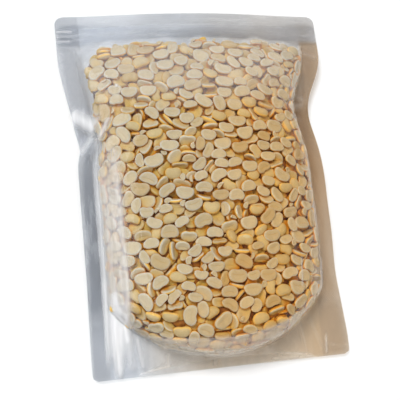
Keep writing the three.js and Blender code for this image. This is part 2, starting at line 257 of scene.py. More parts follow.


# ---- folds and creases in the film
# Each line below is its two ends in plan, its half width, and its height or strength.

# Creases are soft ridges of the front film; they are also painted a little whiter along their
# length as highlights.
CREASES = [
    ((-64.5, 25.5), (-56.0, 40.0), 1.1, 1.5),
    ((-62.0, 36.0), (-74.5, 22.0), 1.4, 1.2),
    ((-60.0, 31.0), (-47.0, 34.0), 1.6, 0.7),
    ((-61.0, 24.0), (-52.0, 15.0), 1.8, 0.7),
    ((32.5, 36.5), (67.0, 47.5), 1.5, 1.0),
    ((41.5, 48.5), (60.0, 35.5), 1.3, 0.8),
    ((48.0, 56.0), (68.0, 50.0), 1.6, 0.9),
    ((40.0, 30.0), (63.0, 38.0), 1.8, 0.6),
    ((-50.0, -83.5), (-34.0, -88.8), 1.3, 0.8),
    ((-34.0, -88.8), (2.0, -90.6), 1.3, 0.9),
    ((2.0, -90.6), (29.0, -85.5), 1.3, 0.8),
    ((29.0, -85.5), (44.0, -74.0), 1.6, 0.5),
    ((-55.8, 5.0), (-55.8, -80.0), 1.5, 0.7),
    ((41.5, -20.0), (38.5, -76.0), 1.6, 0.5),
    ((-65.5, -52.0), (-66.5, -99.0), 1.0, 0.9),
    ((-60.0, -60.0), (-62.5, -96.0), 1.6, 0.6),
    ((-54.5, -78.0), (-53.0, -103.0), 2.2, 0.7),
    ((-46.0, -86.0), (-47.0, -103.0), 1.2, 0.9),
    ((58.5, -67.0), (64.0, -12.0), 0.9, 0.6),
    ((61.5, -70.0), (66.5, -20.0), 0.9, 0.5),
    ((44.5, -48.0), (42.5, -67.0), 0.8, 0.5),
    ((65.0, -93.0), (64.0, -105.5), 0.8, 0.7),
    ((66.0, -100.0), (78.5, -103.4), 0.9, 0.6),
    ((55.0, -84.0), (62.0, -103.0), 1.2, 0.6),
    ((-35.0, -91.5), (-35.5, -105.5), 1.0, 0.6),
    ((-5.0, -99.0), (-5.5, -105.0), 1.0, 0.5),
    ((-67.5, 84.0), (-80.0, 88.0), 1.4, 0.6),
    ((68.0, 82.0), (80.0, 78.0), 1.6, 0.6),
]

# Painted sheens: whitish streaks painted into the film as reflections and highlights, one of them a
# painted glint on a bean.
PAINTED_SHEENS = [
    ((-82.0, 97.6), (-73.0, 97.5), 0.6, 1.8),
    ((-82.0, 91.3), (-74.5, 91.3), 0.6, 1.6),
    ((-77.0, 46.0), (-64.0, 37.0), 4.0, 2.3),
    ((-63.5, 29.0), (-58.0, 39.0), 1.2, 1.8),
    ((-73.0, 22.0), (-66.0, 31.0), 1.5, 0.9),
    ((-62.3, -60.0), (-60.7, -106.0), 1.3, 1.7),
    ((-58.5, -66.0), (-60.0, -104.0), 2.0, 1.3),
    ((-56.8, -72.0), (-55.0, -87.0), 1.0, 1.2),
    ((-52.5, -76.0), (-53.5, -102.0), 3.0, 0.7),
    ((30.0, -105.2), (47.0, -105.5), 1.1, 1.4),
    ((-33.8, -96.0), (-34.6, -104.5), 0.7, 0.6),
    ((-5.0, -102.0), (-5.3, -105.5), 0.9, 1.5),
    ((44.8, -49.4), (42.8, -66.0), 0.6, 1.2),
    ((-52.5, 57.0), (-51.5, 58.0), 1.0, 2.0),
    ((64.5, -95.4), (63.8, -105.0), 0.6, 1.0),
]

# Rows of small teeth are what the sealing bars leave beside the foot.
TOOTH_ROWS = [
    ((-63.4, -60.0), (-63.0, -106.0), 0.8, 2.2),
    ((-49.7, -84.5), (-47.8, -102.0), 0.9, 2.4),
    ((47.0, -86.0), (50.5, -104.0), 0.9, 1.2),
]
LINE_FADE = 0.2


def drawn(lines, x, y):
    """Sum of the lines at each point, each fading beside it and toward its ends."""
    total = np.zeros_like(x)
    for (x0, y0), (x1, y1), width, strength in lines:
        along_x, along_y = x1 - x0, y1 - y0
        t = ((x - x0) * along_x + (y - y0) * along_y) / (along_x**2 + along_y**2)
        off = np.hypot(x - x0 - along_x * clamp(t), y - y0 - along_y * clamp(t))
        fade = ease(t / LINE_FADE + 0.5) * ease((1 - t) / LINE_FADE + 0.5)
        line = fade * np.exp(-((off / width) ** 2))
        total += strength * line
    return total


def seal_waves(x, y):
    """Slow waves of the side seals, strongest at their free edges."""
    left = 0.7 * np.sin(y / 9.5 + 0.8) + 0.5 * np.sin(y / 4.7)
    right = 0.6 * np.sin(y / 12.0 + 2.0) + 0.4 * np.sin(y / 5.6 + 1.0)
    return across_seal(x, y) * np.where(x < 0, left, right)


# ---- meshes
def grid_faces(rows, columns, flip=False):
    index = np.arange(rows * columns).reshape(rows, columns)
    corners = [index[:-1, :-1], index[:-1, 1:], index[1:, 1:], index[1:, :-1]]
    if flip:
        corners.reverse()
    return np.stack([c.ravel() for c in corners], axis=1)


def make_object(name, points, faces, values, material, chart=None):
    """Smooth mesh object from points in millimetres, with named float values on its points.

    A chart gives each corner of each face its place in the bake map.
    """
    mesh = bpy.data.meshes.new(name)
    mesh.from_pydata((points.reshape(-1, 3) * MM).tolist(), [], faces)
    for key, numbers in values.items():
        layer = mesh.attributes.new(key, "FLOAT", "POINT")
        layer.data.foreach_set("value", numbers.astype(np.float32).ravel())
    if chart is not None:
        bake_map = mesh.uv_layers.new(name="OFBake")
        bake_map.uv.foreach_set("vector", chart.astype(np.float32).ravel())
    mesh.polygons.foreach_set("use_smooth", [True] * len(mesh.polygons))
    mesh.materials.append(material)
    mesh.update()
    return add_object(name, mesh)


def unit(v):
    return v / np.maximum(np.linalg.norm(v, axis=-1, keepdims=True), 1e-9)


def grid_normals(points):
    across = np.gradient(points, axis=1)
    along = np.gradient(points, axis=0)
    return unit(np.cross(across, along))


def smooth_grid(values, times):
    """Values of a grid averaged with their neighbours a few times."""
    for _ in range(times * 2):
        padded = np.pad(values, ((0, 0), (1, 1)), mode="edge")
        values = ((padded[:, :-2] + 2 * values + padded[:, 2:]) / 4).T
    return values


# ---- bean shapes
SEGMENTS = 16
# Each ring of a bean is (share of the outline, height): first the dished flat face, then the dome.
FACE_RINGS = [(0.0, -0.11), (0.40, -0.09), (0.64, -0.015), (0.82, -0.01), (0.94, -0.11)]
DOME_RINGS = [(1.0, -0.31), (0.98, -0.50), (0.87, -0.68), (0.66, -0.87), (0.36, -0.97), (0.0, -1.0)]
RINGS = FACE_RINGS + DOME_RINGS
RING_SIZES = [1 if share == 0.0 else SEGMENTS for share, _ in RINGS]
BEAN_COUNT = sum(RING_SIZES)
# Range of lengths of each kind of bean, and its share of the beans.
KINDS = {
    "flat_large": {"length": (9.9, 12.0), "share": 0.36},
    "flat_medium": {"length": (8.3, 10.2), "share": 0.27},
    "domed": {"length": (8.6, 11.2), "share": 0.17},
    "edgewise": {"length": (8.4, 10.8), "share": 0.14},
    "broken": {"length": (4.8, 6.8), "share": 0.05},
}
TOP_SIZE = 0.80
TURN_SPREAD = 17
NOTCHED_SHARE = 0.6
NOTCH_WIDTH = 0.33
BEND_LEVEL = 0.35


def draw_bean(random, kind, y):
    """Sizes and shape of one bean that is to lie near a height of the pouch."""
    size = 1 - (1 - TOP_SIZE) * ease(y, -20, 80)
    length = random.uniform(*KINDS[kind]["length"]) * size
    width = length * random.uniform(0.62, 0.80)
    if kind == "broken":
        width = length * random.uniform(0.60, 0.95)
    if kind == "edgewise":
        turn = random.choice([-1, 1]) * random.uniform(50, 85)
    else:
        turn = (180 if kind == "domed" else 0) + random.normal(0, TURN_SPREAD)
    return {
        "kind": kind,
        "length": length,
        "width": width,
        "thick": width * random.uniform(0.38, 0.52),
        "square": random.uniform(2.0, 2.45),
        "bend": random.uniform(0.03, 0.28),
        "notch": random.uniform(0.04, 0.23) if random.random() < NOTCHED_SHARE else 0.0,
        "flat_side": random.uniform(0.80, 1.0),
        "lean": random.uniform(-0.06, 0.06),
        "cut": random.uniform(-0.35, 0.35) if kind == "broken" else None,
        "turn": math.radians(turn),
        "settle": random.uniform(0.25, 0.85),
        "tone": random.uniform(0, 1),
        "wobble": random.normal(0, 0.011, SEGMENTS),
    }


def bean_outline(bean):
    """Outline of the flat face, SEGMENTS points."""
    angle = np.arange(SEGMENTS) * 2 * np.pi / SEGMENTS
    c, s = np.cos(angle), np.sin(angle)
    power = 2 / bean["square"]
    x = np.sign(c) * np.abs(c) ** power
    y = np.sign(s) * np.abs(s) ** power
    y = np.where(y < 0, y * bean["flat_side"], y)
    y = y * (1 + bean["lean"] * x)
    y = y + bean["notch"] * np.exp(-((x / NOTCH_WIDTH) ** 2)) * (y < 0)
    x, y = x * (1 + bean["wobble"]), y * (1 + bean["wobble"])
    if bean["cut"] is not None:
        x = np.minimum(x, bean["cut"] + 0.25 * y)
    y = y - bean["bend"] * (x * x - BEND_LEVEL)
    return np.stack([x * bean["length"] / 2, y * bean["width"] / 2], axis=1)


def bean_points(bean):
    """All points of one bean in its own frame: flat face up near z = 0, dome below it."""
    outline = bean_outline(bean)
    middle = outline.mean(axis=0)
    points = []
    for (share, height), size in zip(RINGS, RING_SIZES):
        ring = (middle + (outline - middle) * share)[:size]
        points.append(np.column_stack([ring, np.full(size, height * bean["thick"])]))
    return np.concatenate(points)


def bean_topology():
    """Faces of one bean as triangles and quads, and which of them belong to the flat face."""
    starts = np.cumsum([0] + RING_SIZES).tolist()
    faces, on_face = [], []
    for ring in range(len(RINGS) - 1):
        a, b = starts[ring], starts[ring + 1]
        for k in range(SEGMENTS):
            after = (k + 1) % SEGMENTS
            if ring == 0:
                faces.append((a, b + k, b + after))
            elif ring == len(RINGS) - 2:
                faces.append((a + after, a + k, b))
            else:
                faces.append((a + k, b + k, b + after, a + after))
            on_face.append(ring < len(FACE_RINGS))
    return faces, on_face


BEAN_FACES, BEAN_ON_FACE = bean_topology()


def turned(bean):
    """Rotation of a bean about its long axis."""
    c, s = math.cos(bean["turn"]), math.sin(bean["turn"])
    return np.array([[1, 0, 0], [0, c, -s], [0, s, c]])


def bean_span(bean, a, b):
    """Highest and lowest height of a bean over each point (a, b) of its place, and where it is."""
    half_l, half_w, thick = bean["length"] / 2, bean["width"] / 2, bean["thick"]
    if bean["cut"] is not None:
        a = a - half_l * (bean["cut"] - 1) / 2
        half_l = half_l * (1 + bean["cut"]) / 2
    c, s = math.cos(bean["turn"]), math.sin(bean["turn"])
    b = b + half_w * bean["bend"] * ((a / half_l) ** 2 - BEND_LEVEL) * c
    left = 1 - np.abs(a / half_l) ** bean["square"]
    qa = s * s / half_w**2 + c * c / thick**2
    qb = b * (c * s / half_w**2 - s * c / thick**2)
    qc = b * b * (c * c / half_w**2 + s * s / thick**2) - left
    root = qb * qb - qa * qc
    inside = (root > 0) & (left > 0)
    root = np.sqrt(np.maximum(root, 0))
    low, high = (-qb - root) / qa, (-qb + root) / qa
    cut = b * s / (c if abs(c) > 1e-3 else 1e-3)
    if c > 0:
        high = np.minimum(high, cut)
    else:
        low = np.maximum(low, cut)
    return high, low, inside & (high > low)


def fill_bean(points, bean, axes, centre):
    """Points of a bean of half sizes 1, taken to this bean's size, cut, turn and place."""
    size = np.array([bean["length"] / 2, bean["width"] / 2, bean["thick"]])
    points = points * size
    if bean["cut"] is not None:
        points[:, 0] = points[:, 0] * (1 + bean["cut"]) / 2 + size[0] * (bean["cut"] - 1) / 2
    return points @ axes.T + centre


# ---- laying the beans
FIRST_GAP = 0.25
LEAST_ROOM = 3.6
WINDOW = 7.0
SAMPLE = 1.3
MOST_STEPS = 18
BLOCK = 0.9
TURNS = 7
TRIES = 9
BEST_SPOTS = 3
LEAST_SAMPLES = 5
MOST_SLOPE = 0.6
MOST_FILLED = 0.12
SCORE_WASTE = 0.55
SCORE_SNUG = 0.45
SCORE_LYING = 0.22
UPRIGHT = [0.31, 0.95, 0.05]
# Voxels are 1 mm wide.
VOXEL_SHAPE = (180, 230, 44)
VOXEL_ORIGIN = np.array([-90.0, -115.0, -4.0])


def inner_points():
    """Points spread through a bean of half sizes 1, for asking what is already there."""
    points = []
    for z, r in ((-0.15, 0.85), (-0.45, 0.78), (-0.75, 0.5)):
        eighths = np.arange(8) * math.pi / 4
        points += [(0, 0, z)] + [(r * math.cos(t), r * math.sin(t), z) for t in eighths]
    return np.array(points)


INNER_POINTS = inner_points()


class Patch:
    """A piece of film seen from inside, and how deep the beans laid against it already reach."""

    def __init__(self, points, outward, room):
        self.points = points
        self.normals = outward
        self.room = room
        self.depth = np.full(points.shape[:2], FIRST_GAP)
        self.sunk = np.zeros(points.shape[:2])
        self.blocked = room < LEAST_ROOM
        gaps = [np.linalg.norm(np.gradient(points, axis=axis), axis=2) for axis in (0, 1)]
        self.row_step, self.column_step = (gap.clip(0.1) for gap in gaps)
        self.area = self.row_step * self.column_step

    def window(self, row, column, size, sample=0):
        """Slices of the grid round a point, out to a distance, all points or one in a few."""
        slices = []
        for middle, steps in ((row, self.row_step), (column, self.column_step)):
            step = steps[row, column]
            side = int(min(MOST_STEPS, math.ceil(size / step)))
            skip = max(1, int(sample / step))
            slices.append(slice(max(0, middle - side), middle + side + 1, skip))
        return tuple(slices)

    def stand_on(self, row, column):
        """A point of the film, and the side, along and outward axes there."""
        normal = self.normals[row, column]
        side = unit(np.cross(normal, UPRIGHT))
        return self.points[row, column], side, np.cross(normal, side), normal

    def block(self, row, column):
        """Leaves a small part of the film without more beans."""
        self.blocked[self.window(row, column, BLOCK)] = True


def top_of_beans(x):
    """The uneven line that the beans reach up to."""
    corners = 9 * ease(x, -50, -70) + 4 * ease(x, 56, 70)
    return FILL_END_Y - 1.2 - corners + 0.9 * np.sin(x / 5.1) + 0.8 * np.sin(x / 2.9 + 1)


def side_of_beans(left, y):
    """How far from the middle the beans reach at each height."""
    spare_left = 4.0 * ease(y, 30, 70)
    spare_right = 1.5 * ease(y, 60, 80) + 4.5 * ease(y, -32, -62)
    spare = 0.2 + np.where(left, spare_left, spare_right)
    return seam_half(left, np.maximum(y, GUSSET_START_Y)) - spare


def in_pouch(points):
    """Which points lie between the film's sheets, and where the photograph shows beans."""
    x, y, z = points.T
    plan = np.abs(x) < side_of_beans(x < 0, y)
    plan &= y < top_of_beans(x)
    plan &= y > gusset_y(x) + 0.2 - GUSSET_BULGE * 0.5 * mouth(x)
    return plan & (z < front_z(x, y) - 0.05) & (z > back_z(x, y) + 0.1)


def voxels(points):
    """Index of the voxel that each point is in."""
    cell = np.floor(points - VOXEL_ORIGIN).astype(int)
    return tuple(np.clip(cell, 0, np.array(VOXEL_SHAPE) - 1).T)


def look_at(patch, row, column, sample=0):
    """The film's points round one of its points, in a frame that stands on that point."""
    window = patch.window(row, column, WINDOW, sample)
    origin, side, along, normal = patch.stand_on(row, column)
    film = (patch.points[window] - origin).reshape(-1, 3)
    normals = patch.normals[window].reshape(-1, 3)
    facing = normals @ normal
    depth = patch.depth[window].reshape(-1)
    free = film - depth[:, None] * normals
    near = (np.linalg.norm(film, axis=1) < WINDOW) & (facing > 0.25)
    return {
        "window": window,
        "side": side,
        "along": along,
        "p": free @ side,
        "q": free @ along,
        "e": free @ normal,
        "film": film @ normal,
        "facing": facing,
        "depth": depth,
        "near": near,
    }


def lay_over(bean, seen, c, s):
    """A bean turned on the film: the film's points in its frame, and its span over them."""
    a = c * seen["p"] + s * seen["q"]
    b = c * seen["q"] - s * seen["p"]
    top, low, inside = bean_span(bean, a, b)
    return a, b, top, low, inside & seen["near"]


def try_place(patch, bean, row, column, random):
    """Best turn and tilt for the bean at one point of the film, or None."""
    seen = look_at(patch, row, column, SAMPLE)
    angle = random.uniform(0, 2 * np.pi) + np.arange(TURNS) * 2 * np.pi / TURNS
    c, s = np.cos(angle)[:, None], np.sin(angle)[:, None]
    a, b, top, _, inside = lay_over(bean, seen, c, s)
    count = inside.sum(axis=1)
    if count.max() < LEAST_SAMPLES:
        return None
    share = inside / np.maximum(count, 1)[:, None]
    gap = seen["e"] - top
    level = gap - (gap * share).sum(axis=1, keepdims=True)
    soft = 4 / np.maximum(count, 1)
    aa = (share * a * a).sum(axis=1) + soft
    bb = (share * b * b).sum(axis=1) + soft
    ab = (share * a * b).sum(axis=1)
    ra = (share * a * level).sum(axis=1)
    rb = (share * b * level).sum(axis=1)
    whole = aa * bb - ab * ab
    slope_a = np.clip((ra * bb - rb * ab) / whole, -MOST_SLOPE, MOST_SLOPE) * bean["settle"]
    slope_b = np.clip((rb * aa - ra * ab) / whole, -MOST_SLOPE, MOST_SLOPE) * bean["settle"]
    rest = gap - slope_a[:, None] * a - slope_b[:, None] * b
    height = np.where(inside, rest, np.inf).min(axis=1)
    waste = (share * (rest - height[:, None])).sum(axis=1)
    ring = seen["near"] & ~inside & (np.hypot(a / bean["length"], b / bean["width"]) < 0.72)
    snug = (ring * np.minimum(seen["depth"], 2.5)).sum(axis=1) / np.maximum(ring.sum(axis=1), 1)
    lying = (c[:, 0] * seen["side"][0] + s[:, 0] * seen["along"][0]) ** 2
    score = height - SCORE_WASTE * waste + SCORE_SNUG * snug + SCORE_LYING * lying
    score = np.where(count < LEAST_SAMPLES, -np.inf, score)
    k = int(np.argmax(score))
    return {
        "row": row,
        "column": column,
        "score": score[k],
        "angle": angle[k],
        "slope": (slope_a[k], slope_b[k]),
        "height": height[k],
    }


def stand(patch, bean, spot):
    """Adds the bean's centre, axes and inner points to a spot."""
    origin, side, along, normal = patch.stand_on(spot["row"], spot["column"])
    c, s = math.cos(spot["angle"]), math.sin(spot["angle"])
    axis_a, axis_b = c * side + s * along, c * along - s * side
    up = unit(normal - spot["slope"][0] * axis_a - spot["slope"][1] * axis_b)
    axis_a = unit(axis_a - (axis_a @ up) * up)
    spot["axes"] = np.stack([axis_a, np.cross(up, axis_a), up], axis=1) @ turned(bean)
    spot["centre"] = origin + spot["height"] * normal
    spot["inner"] = fill_bean(INNER_POINTS, bean, spot["axes"], spot["centre"])


def settle(patch, bean, spot):
    """Deepens the patch where the bean now lies."""
    seen = look_at(patch, spot["row"], spot["column"])
    c, s = math.cos(spot["angle"]), math.sin(spot["angle"])
    a, b, top, low, inside = lay_over(bean, seen, c, s)
    tilted = spot["height"] + spot["slope"][0] * a + spot["slope"][1] * b
    facing = np.maximum(seen["facing"], 0.3)
    reached = np.where(inside, (seen["film"] - tilted - low) / facing, 0)
    starts = np.where(inside, (seen["film"] - tilted - top) / facing, 0)
    window = seen["window"]
    depth, sunk = patch.depth[window], patch.sunk[window]
    patch.depth[window] = np.maximum(depth, reached.reshape(depth.shape))
    patch.sunk[window] = np.where(sunk > 0, sunk, starts.reshape(depth.shape))


def lay_beans(patch, filled, random, limit, most_depth):
    """Lays beans against a patch of film until it is covered, and returns them."""
    laid = []
    kinds = list(KINDS)
    chance = np.array([facts["share"] for facts in KINDS.values()])
    chance = chance / chance.sum()
    for _ in range(limit * 2):
        rows, columns = np.nonzero((patch.depth < most_depth) & ~patch.blocked)
        if rows.size == 0 or len(laid) == limit:
            break
        weight = patch.area[rows, columns] * np.exp(-patch.depth[rows, columns] / 0.6)
        total = np.cumsum(weight)
        picks = np.searchsorted(total, random.uniform(0, total[-1], TRIES))
        picks = np.minimum(picks, rows.size - 1)
        rows, columns = rows[picks], columns[picks]
        height = patch.points[rows, columns, 1].mean()
        bean = draw_bean(random, kinds[random.choice(len(kinds), p=chance)], height)
        spots = [try_place(patch, bean, row, column, random) for row, column in zip(rows, columns)]
        spots = [spot for spot in spots if spot and spot["height"] > -most_depth - 1]
        spots.sort(key=lambda spot: -spot["score"])
        for spot in spots[:BEST_SPOTS]:
            stand(patch, bean, spot)
            taken = voxels(spot["inner"])
            clear = filled[taken].sum() <= len(INNER_POINTS) * MOST_FILLED
            if clear and in_pouch(spot["inner"]).all():
                settle(patch, bean, spot)
                filled[taken] = True
                bean.update(axes=spot["axes"], centre=spot["centre"], sunk=-spot["height"])
                bean["out"] = patch.normals[spot["row"], spot["column"]]
                laid.append(bean)
                break
            patch.block(spot["row"], spot["column"])
        else:
            patch.block(rows[0], columns[0])
    return laid


# ---- bean meshes
# How far out each point reads the crowding for its painted crevice shade: toward the film, and off
# the bean's surface.
CREVICE_LIFT = 1.5
CREVICE_CLEAR = 1.3


def solid_points():
    """Points that fill a bean of half sizes 1 closely enough to mark every voxel in it."""
    steps = np.linspace(-0.95, 0.95, 15)
    x, y, z = np.meshgrid(steps, steps, np.linspace(-0.95, -0.05, 6), indexing="ij")
    points = np.stack([x, y, z], axis=-1).reshape(-1, 3)
    return points[(points**2).sum(axis=1) < 0.97]


def crowding(beans):
    """How full of beans the space round each voxel is, from 0 to 1."""
    full = np.zeros(VOXEL_SHAPE, dtype=np.float32)
    solid = solid_points()
    for bean in beans:
        full[voxels(fill_bean(solid, bean, bean["axes"], bean["centre"]))] = 1
    for axis in (0, 1, 2):
        full = (np.roll(full, 1, axis) + full + np.roll(full, -1, axis)) / 3
    return full


def bake_chart():
    """Place of each face corner of one bean in its cell: the flat face left, the dome right."""
    ring_of = np.repeat(np.arange(len(RINGS)), RING_SIZES)
    angle_of = np.concatenate([2 * np.pi * np.arange(size) / SEGMENTS for size in RING_SIZES])
    rim, last = len(FACE_RINGS), len(RINGS) - 1
    places = []
    for face, on_face in zip(BEAN_FACES, BEAN_ON_FACE):
        for corner in face:
            ring, angle = ring_of[corner], angle_of[corner]
            radius = ring / rim if on_face else (last - ring) / (last - rim)
            u = (0.25 if on_face else 0.75) + 0.23 * radius * math.cos(angle)
            places.append((u, 0.5 + 0.46 * radius * math.sin(angle)))
    return np.array(places)


def bean_values(bean, crowd):
    """Points of a laid bean, and the values that its material reads at each of them."""
    domed = np.repeat([0.0] * len(FACE_RINGS) + [1.0] * len(DOME_RINGS), RING_SIZES)
    local = bean_points(bean)
    placed = local @ bean["axes"].T + bean["centre"]
    facing = local / np.array([bean["length"], bean["width"], bean["thick"]]) ** 2
    facing = np.where(domed[:, None] > 0, unit(facing + [0, 0, 1e-6]), [0.0, 0.0, 1.0])
    lifted = placed + bean["out"] * CREVICE_LIFT + facing @ bean["axes"].T * CREVICE_CLEAR
    return placed, {
        "bean_rim": np.repeat([share for share, _ in RINGS], RING_SIZES),
        "bean_dome": domed,
        "bean_tone": np.full(BEAN_COUNT, bean["tone"]),
        # Depth under the film and crowding round each point, which the material turns into painted
        # shade.
        "bean_deep": bean["sunk"] - local @ bean["axes"].T @ bean["out"],
        "bean_crevice": crowd[voxels(lifted)],
        "bean_u": local[:, 0] * 2 / bean["length"],
        "bean_v": local[:, 1] * 2 / bean["width"],
    }


def bean_object(title, beans, crowd, material):
    """One mesh of many beans, with a bake map that gives each bean its own cell."""
    points, values = zip(*(bean_values(bean, crowd) for bean in beans))
    values = {key: np.concatenate([each[key] for each in values]) for key in values[0]}
    starts = range(0, len(beans) * BEAN_COUNT, BEAN_COUNT)
    faces = [[start + corner for corner in face] for start in starts for face in BEAN_FACES]
    wide = max(1, math.ceil(math.sqrt(len(beans) / 2)))
    high = math.ceil(len(beans) / wide)
    cells = np.array([(k % wide, k // wide) for k in range(len(beans))])
    chart = (cells[:, None, :] + bake_chart()[None]) / (wide, high)
    return make_object(title, np.concatenate(points), faces, values, material, chart)


# ---- materials
class Nodes:
    """A material's node tree, with short calls for the nodes used here."""

    def __init__(self, name):
        self.material = bpy.data.materials.new(name)
        self.material.use_nodes = True
        self.tree = self.material.node_tree
        self.tree.nodes.clear()
        self.output = self.tree.nodes.new("ShaderNodeOutputMaterial")

    def node(self, kind, inputs=None, **settings):
        made = self.tree.nodes.new("ShaderNode" + kind)
        for key, value in settings.items():
            setattr(made, key, value)
        for key, value in (inputs or {}).items():
            self.set(made.inputs[key], value)
        return made

    def set(self, socket, value):
        if isinstance(value, bpy.types.NodeSocket):
            self.tree.links.new(value, socket)
        elif isinstance(value, tuple) and len(value) == 3 and socket.type == "RGBA":
            socket.default_value = (*value, 1)
        else:
            socket.default_value = value

    def value(self, name):
        return self.node("Attribute", attribute_name=name).outputs["Fac"]

    def math(self, operation, *values):
        made = self.node("Math", operation=operation)
        for socket, value in zip(made.inputs, values):
            self.set(socket, value)
        return made.outputs[0]

    def times(self, first, second):
        return self.math("MULTIPLY", first, second)

    def plus(self, first, second):
        return self.math("ADD", first, second)

    def linear(self, value, factor, offset):
        return self.math("MULTIPLY_ADD", value, factor, offset)

    def less(self, value):
        """1 less the value."""
        return self.math("SUBTRACT", 1.0, value)

    def ramp(self, value, low, high):
        """0 below low and 1 above high, smooth between."""
        inputs = {"Value": value, "From Min": low, "From Max": high}
        made = self.node("MapRange", inputs, interpolation_type="SMOOTHSTEP")
        return made.outputs["Result"]

    def mix(self, share, first, second, blend="MIX"):
        inputs = {0: share, 6: first, 7: second}
        made = self.node("Mix", inputs, data_type="RGBA", blend_type=blend)
        return made.outputs[2]

    def tinted(self, colour, factor):
        grey = self.node("CombineColor", {"Red": factor, "Green": factor, "Blue": factor})
        return self.mix(1.0, colour, grey.outputs[0], "MULTIPLY")

    def place(self):
        return self.node("TexCoord").outputs["Object"]

    def noise(self, scale, detail=2.0, stretch=None):
        place = self.place()
        if stretch:
            place = self.node("Mapping", {"Vector": place, "Scale": stretch}).outputs[0]
        inputs = {"Vector": place, "Scale": scale, "Detail": detail}
        return self.node("TexNoise", inputs).outputs["Fac"]

    def bump(self, height, distance):
        return self.node("Bump", {"Height": height, "Distance": distance}).outputs[0]

    def solid(self, colour, rough, **settings):
        """A finished opaque material. Settings are sockets, with _ for each space."""
        shader = self.node("BsdfPrincipled", {"Base Color": colour, "Roughness": rough})
        for key, value in settings.items():
            self.set(shader.inputs[key.replace("_", " ")], value)
        return self.finish(shader.outputs[0])

    def sheer(self, tint, haze_and_glare_colour, haze_and_glare_share, gloss, mirror):
        """A finished clear film, part milky, with a gloss that grows from face-on to edge-on. The
        milky part is haze, and on the film also painted glare.
        """
        facing = self.node("LayerWeight", {"Blend": 0.5}).outputs["Facing"]
        face_on, edge_on = gloss
        shine = self.linear(self.math("POWER", facing, 3.0), edge_on, face_on)
        clear = self.node("BsdfTransparent", {"Color": tint}).outputs[0]
        white = self.node("BsdfDiffuse", {"Color": haze_and_glare_colour}).outputs[0]
        glossy = self.node("BsdfGlossy", mirror).outputs[0]
        base = self.node("MixShader", {0: haze_and_glare_share, 1: clear, 2: white}).outputs[0]
        whole = self.node("MixShader", {0: shine, 1: base, 2: glossy}).outputs[0]
        return self.finish(whole)

    def finish(self, shader):
        self.tree.links.new(shader, self.output.inputs["Surface"])
        return self.material


FACE_MIDDLE = (0.585, 0.465, 0.285)
FACE_RIM_AND_HIGHLIGHT = (0.625, 0.57, 0.45)
DOME = (0.63, 0.475, 0.235)
SIDE_PAINTED_GLOW = (0.87, 0.54, 0.13)
AMBER = (0.58, 0.34, 0.08)
DEPTH_PAINTED_SHADE = (0.65, 0.405, 0.05)
CREVICE_PAINTED_SHADE = (0.64, 0.25, 0.005)


def bean_material():
    n = Nodes("peeled_bean")
    rim, dome, tone = n.value("bean_rim"), n.value("bean_dome"), n.value("bean_tone")
    u, v = n.value("bean_u"), n.value("bean_v")
    grain, cloud = n.noise(900, 4), n.noise(260, 2)
    # The flat face: a pale rim, partly its own colour and partly painted highlight, and on some
    # beans an amber groove that follows the bean's bend.
    face = n.mix(n.ramp(rim, 0.68, 0.96), FACE_MIDDLE, FACE_RIM_AND_HIGHLIGHT)
    bow = n.linear(n.times(u, u), -0.35, -0.02)
    groove = n.less(n.ramp(n.math("ABSOLUTE", n.math("SUBTRACT", v, bow)), 0.02, 0.13))
    groove = n.times(groove, n.less(n.ramp(rim, 0.45, 0.78)))
    groove = n.times(n.times(groove, n.less(dome)), n.ramp(tone, 0.15, 0.75))
    face = n.mix(n.times(groove, 0.30), face, AMBER)
    # The dome, with a painted glow on its side walls for light shining through them, and how much
    # amber a bean has of its own.
    back = n.mix(n.ramp(rim, 0.78, 0.98), DOME, SIDE_PAINTED_GLOW)
    colour = n.mix(n.ramp(dome, 0.2, 0.8), face, back)
    colour = n.mix(n.times(n.ramp(tone, 0.80, 1.0), 0.45), colour, AMBER)
    # Painted shade: beans and parts lying deeper under the film are darkened toward amber.
    colour = n.mix(n.times(n.ramp(n.value("bean_deep"), 0.9, 5.0), 0.80), colour, DEPTH_PAINTED_SHADE)
    # Painted shade: darker red-amber in the crevices, where the beans crowd round a point.
    crevice = n.ramp(n.value("bean_crevice"), 0.12, 0.62)
    colour = n.mix(n.times(crevice, 0.95), colour, CREVICE_PAINTED_SHADE)
    shade = n.times(n.linear(grain, 0.16, 0.92), n.linear(cloud, 0.20, 0.90))
    shade = n.times(shade, n.linear(tone, -0.12, 1.05))
    height = n.linear(groove, -0.45, n.linear(grain, 0.25, cloud))
    return n.solid(
        n.tinted(colour, shade),
        0.52,
        Normal=n.bump(height, 0.00025),
        IOR=1.45,
        Specular_IOR_Level=0.28,
        Subsurface_Weight=0.12,
        Subsurface_Radius=(1.0, 0.7, 0.4),
        Subsurface_Scale=0.0018,
    )


# The core is a sheet painted in two tones of shade, standing in for the deeper beans lying in
# shadow.
CORE_SHADE_PALE = (0.42, 0.15, 0.006)
CORE_SHADE_DARK = (0.16, 0.045, 0.003)


def core_shade_material():
    n = Nodes("painted_shade_core")
    colour = n.mix(n.ramp(n.noise(170, 2), 0.35, 0.68), CORE_SHADE_DARK, CORE_SHADE_PALE)
    return n.solid(colour, 0.7, Normal=n.bump(n.noise(210, 3), 0.002))


BODY_COOL = (0.93, 0.95, 0.975)
BODY_WARM = (0.965, 0.895, 0.78)
SEAL_COOL = (0.745, 0.76, 0.785)
SEAL_WARM = (0.665, 0.555, 0.425)
# Colours of the film's milky veil of haze and painted glare, and of that veil in painted shade.
HAZE_GLARE_COOL = (0.93, 0.93, 0.94)
HAZE_GLARE_WARM = (0.90, 0.84, 0.75)
HAZE_GLARE_PAINTED_SHADE = (0.74, 0.66, 0.56)
FILM_GLOSS = (0.018, 0.60)
FILM_ROUGH = 0.07
HAZE = 0.002
VEIL = 0.26
RIB_VEIL = 0.14
HATCH_VEIL = 0.24
MOST_VEIL = 0.85
HATCH_PITCH = 4200.0


